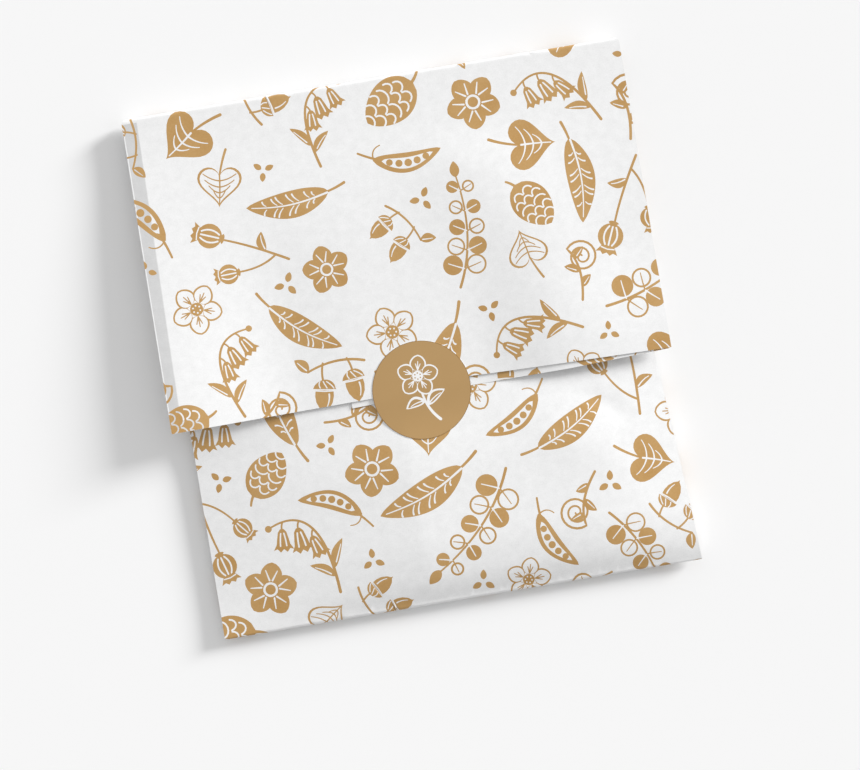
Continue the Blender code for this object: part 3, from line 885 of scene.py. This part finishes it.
def makeLining():  # tucked in above the free edge on the left, stepped out below it from the seal on
    stepX = liningPlan["edgeX"][0]
    leftEdge, rightEdge = liningPlan["left"] - bag["halfFlap"], bag["halfFlap"] - liningPlan["right"]
    shown = np.linspace(stepX, rightEdge, 80)
    shown = np.stack([shown, np.interp(shown, liningPlan["edgeX"], liningPlan["edgeY"])], axis=1)
    tucked = np.linspace(leftEdge, stepX, 50)
    tucked = np.stack([tucked, freeEdge(tucked) + liningPlan["tuck"]], axis=1)
    top = foldAxis[1] - liningPlan["below"]
    border = np.concatenate([tucked, shown, [[rightEdge, top], [leftEdge, top]]]) / millimetre
    low, high = border.min(0), border.max(0)
    spots = gridSpots(low + 1, high - 1, liningPlan["step"])
    printEnd = np.array([high[0] + printLayout["over"], low[1] + liningPlan["printHigh"]])
    drawn = layOut(low - printLayout["over"], printEnd, liningPlan["rounds"], liningPlan["seed"])
    drawn = [part for part in drawn if part[0][:, 0].min() > liningPlan["printX"]]  # bare left of the seal
    return printSheet("liningSheet", border, spots, drawn, placeLining, plainPaper)


sideFold = {"ply": 0.0008, "width": bag["margin"], "top": foldAxis[1] - bag["runout"], "taper": 0.012,
            "printOver": 8.0}


def placeMargin(flat, side):  # from the back's edge up round the side fold, then in under the front panel
    inward, y = side * -flat[:, 0], flat[:, 1]
    edge = np.where(side < 0, -bag["halfBody"], rightSide(y))
    foot = backHeight(edge, y)
    reach = 0.5 * (frontHeight(edge, y) - sideFold["ply"] - foot)
    turn = np.clip(inward / reach, 0.0, math.pi)
    past = np.maximum(inward - math.pi * reach, 0.0)
    x = edge - side * (reach - reach * np.sin(turn) + past)
    z = np.where(past > 0.0, frontHeight(x, y) - sideFold["ply"], foot + reach * (1.0 - np.cos(turn)))
    return np.stack([x, y, z], axis=1)


def makeMargin(name, side, seed):  # a strip with slanting ends, drawn for the left and mirrored for the right
    reach = 0.5 * (frontPanel["rim"] - sideFold["ply"] - backPanel["rim"])
    wide = (math.pi * reach + sideFold["width"]) / millimetre
    low = bottomTangent(np.array([side * bag["halfBody"]]))[0] / millimetre + 1.0
    top = sideFold["top"] / millimetre
    taper = sideFold["taper"] / millimetre
    ends = [line((0, low), (wide, low + taper), 1.0), line((wide, top - taper), (0, top), 1.0)]
    inner, outer = line((wide, low + taper), (wide, top - taper)), line((0, top), (0, low))
    border = np.concatenate([ends[0], inner, ends[1], outer])
    folded = gridSpots((0.3, low + 1), (math.pi * reach / millimetre + 0.5, top - 1), 0.5)[::3]
    spots = np.concatenate([folded, gridSpots((3.5, low + 2), (wide - 0.5, top - 2), 2.5)])
    over, mirror = sideFold["printOver"], np.array([-side, 1])
    drawn = layOut(np.array([-over, low]), np.array([wide + over, top]), 1, seed)
    drawn = [(outline * mirror, inked) for outline, inked in drawn]

    def place(points):
        return placeMargin(points, side)

    return printSheet(name, border * mirror, spots * mirror, drawn, place, printedPaper)


for name, side, seed in (("left", -1, 21), ("right", 1, 22)):
    marginSheet = makeMargin(name + "Margin", side, seed)
    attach(marginSheet, "bag")
    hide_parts(name + "_seam_strip")
    print("stage", name, "margin:", len(marginSheet.data.polygons), "faces")

lining = makeLining()
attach(lining, "flap")
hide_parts("flap_lining")
print("stage lining:", len(lining.data.polygons), "faces")


# edge is the width in mm of the ring of painted shade round the seal
sealPlan = {"radius": 25.0, "edge": 0.3, "edgeSteps": 160, "ringStart": 1.5, "ringStep": 1.6,
            "descent": 0.025, "above": 0.00025, "thickness": 0.00015, "flower": (0.86, 14, (0.0, 7.0)),
            "turn": 12, "move": (0.6, 0.4)}


def placeSeal(flat):  # on the flap above its free edge, coming down to the front panel below it
    x, y = flat[:, 0], flat[:, 1]
    down = ease((bag["freeY"] - y) / sealPlan["descent"])
    return np.stack([x, y, mix(flapHeight(x, y), frontHeight(x, y), down) + sealPlan["above"]], axis=1)


def sealMotif():  # one five-petal flower on a bowed stem with two leaves
    shape = [inkLine(curve((3.0, -17.5), (-2.5, -9), (-0.5, 2), 18), 1.5, 1.0)]
    for side, base, tip in ((1, (-0.6, -8.5), (10.5, -4.0)), (-1, (-0.8, -6.0), (-11.5, -6.5))):
        base, tip = np.array(base), np.array(tip)
        shape.append((leaf(base, tip, 5.4, 1.4 * side), True))
        shape.append((leaf(mix(base, tip, 0.14), mix(base, tip, 0.9), 3.4, 1.2 * side), False))
        rib = curve(base, mix(base, tip, 0.5) + (0, 1.2), mix(base, tip, 0.75), 8)
        shape.append(inkLine(rib, 0.7, 0.4))
    size, degrees, centre = sealPlan["flower"]
    shape += [(turned(outline * size, degrees, centre), inked) for outline, inked in blossomLine()]
    return [(turned(outline, sealPlan["turn"], sealPlan["move"]), inked) for outline, inked in shape]


def makeSeal():  # rings of points, the outermost strip in a darker gold, painted shade for the seal's edge
    centre = np.array([0.0, bag["freeY"] / millimetre])
    steps, edge = sealPlan["edgeSteps"], sealPlan["radius"] - sealPlan["edge"]
    border = disc(centre, sealPlan["radius"], steps)
    radii = np.arange(sealPlan["ringStart"], edge + 0.1, sealPlan["ringStep"])
    rings = [disc(centre, radius, int(2.2 * radius) + 6) for radius in radii]
    drawn = [(outline + centre, inked) for outline, inked in sealMotif()]
    flat, faces, ink = cutSheet(border, np.concatenate(rings + [disc(centre, edge, steps)]), drawn)
    # slot 3, the outermost ring, carries the painted shade of the seal's edge
    slots = np.where(np.hypot(*(flat[faces].mean(1) - centre).T) > edge + 0.02, 3, ink.astype(int))
    materials, thickness = (sealGold, sealWhite, plainPaper, sealEdgeShade), sealPlan["thickness"]
    return makeSheet("sealDisc", flat * millimetre, faces, slots, placeSeal, thickness, materials, 2)


seal = makeSeal()
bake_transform(seal)
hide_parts("seal_upper_half", "seal_lower_half")
print("stage seal:", len(seal.data.polygons), "faces")

glue = {
    "node": ("left_seam_glue", "right_seam_glue", "lining_glue"), "body": ("bag", "bag", "flap"),
    "height": (frontHeight, frontHeight, flapHeight), "drop": 0.00032, "thickness": 0.00025, "inset": 0.8,
    "wide": 7.0, "sideGap": 1.2, "step": 2.0,
}
glueMaterial = inkMaterial("dried glue", (0.76, 0.72, 0.62, 1.0), (0.82, 0.79, 0.70, 1.0), 300.0, 0.25)


def makeGlue(name, height):  # a thin film over the CAD film's plan, just under the sheet it holds
    low, high = (np.array(corner[:2]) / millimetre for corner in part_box(name))
    low, high = low + glue["inset"], high - glue["inset"]
    if name == "right_seam_glue":  # offsets in from the slanting side
        low[0], high[0] = -glue["wide"], -glue["sideGap"]
    corners = [low, (high[0], low[1]), high, (low[0], high[1])]
    border = np.concatenate([line(a, b) for a, b in zip(corners, corners[1:] + corners[:1])])
    flat, faces, _ = cutSheet(border, gridSpots(low + 1.0, high - 1.0, glue["step"]), [])
    slots, thickness = np.zeros(len(faces), int), glue["thickness"]

    def place(points):
        x, y = points[:, 0], points[:, 1]
        x = x + rightSide(y) if name == "right_seam_glue" else x
        return np.stack([x, y, height(x, y) - glue["drop"]], axis=1)

    return makeSheet(name + "Film", flat * millimetre, faces, slots, place, thickness, (glueMaterial,), 0)


for name, body, height in zip(glue["node"], glue["body"], glue["height"]):
    film = makeGlue(name, height)
    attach(film, body)
    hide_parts(name)
    print("stage glue:", name, len(film.data.polygons), "faces")

# Floor, light and camera
view = {"turn": math.radians(9.5), "lookAt": (0.0046, -0.02395), "lens": 100.0, "metresAcross": 0.4361,
        "sensor": 36.0, "clipStart": 0.01}
light = {"ambient": 0.63, "lean": 0.35, "key": 3.9, "elevation": math.radians(17.3),
         "azimuth": math.radians(23), "spread": math.radians(17)}
ground = {"half": 3.0, "colour": grey(247), "roughness": 0.9, "below": 0.0002}


def makeFloor():  # one large square just under the bag
    mesh = bpy.data.meshes.new("floor")
    corners = ground["half"] * np.array([(-1, -1, 0), (1, -1, 0), (1, 1, 0), (-1, 1, 0)])
    mesh.from_pydata(corners.tolist(), [], [(0, 1, 2, 3)])
    floor = addObject("floor", mesh)
    material, _, shader = newMaterial("floor")
    shader.inputs["Base Color"].default_value = ground["colour"]
    shader.inputs["Roughness"].default_value = ground["roughness"]
    shader.inputs["Specular IOR Level"].default_value = 0.0
    mesh.materials.append(material)
    floor.location.z = -ground["below"]


# A sun, and a sky brighter from behind the top fold: ambient times one plus lean times the direction's y
def makeLight():
    world = bpy.data.worlds.new("studio")
    bpy.context.scene.world = world
    world.use_nodes = True
    tree = world.node_tree
    direction = addNode(tree, "ShaderNodeTexCoord").outputs["Generated"]
    upwards = addNode(tree, "ShaderNodeSeparateXYZ", {0: direction}).outputs["Y"]
    level = addMath(tree, "MULTIPLY_ADD", upwards, light["ambient"] * light["lean"], light["ambient"])
    tree.links.new(level, tree.nodes["Background"].inputs["Strength"])
    tree.nodes["Background"].inputs["Color"].default_value = (1.0, 1.0, 1.0, 1.0)
    lamp = bpy.data.lights.new("key", "SUN")
    lamp.energy = light["key"]
    lamp.angle = light["spread"]
    key = addObject("key", lamp)
    key.rotation_euler = (0.0, math.pi / 2 - light["elevation"], light["azimuth"])


def makeCamera():  # straight above, at the distance that gives the frame its width
    camera = bpy.data.cameras.new("camera")
    camera.lens = view["lens"]
    camera.sensor_width = view["sensor"]
    camera.clip_start = view["clipStart"]
    eye = addObject("camera", camera)
    distance = view["metresAcross"] * view["lens"] / view["sensor"]
    eye.location = (*view["lookAt"], flapPly["top"] + distance)
    eye.rotation_euler = (0.0, 0.0, -view["turn"])
    bpy.context.scene.camera = eye


makeFloor()
makeLight()
makeCamera()
bpy.context.scene.view_settings.view_transform = "Standard"
print("stage studio: set")
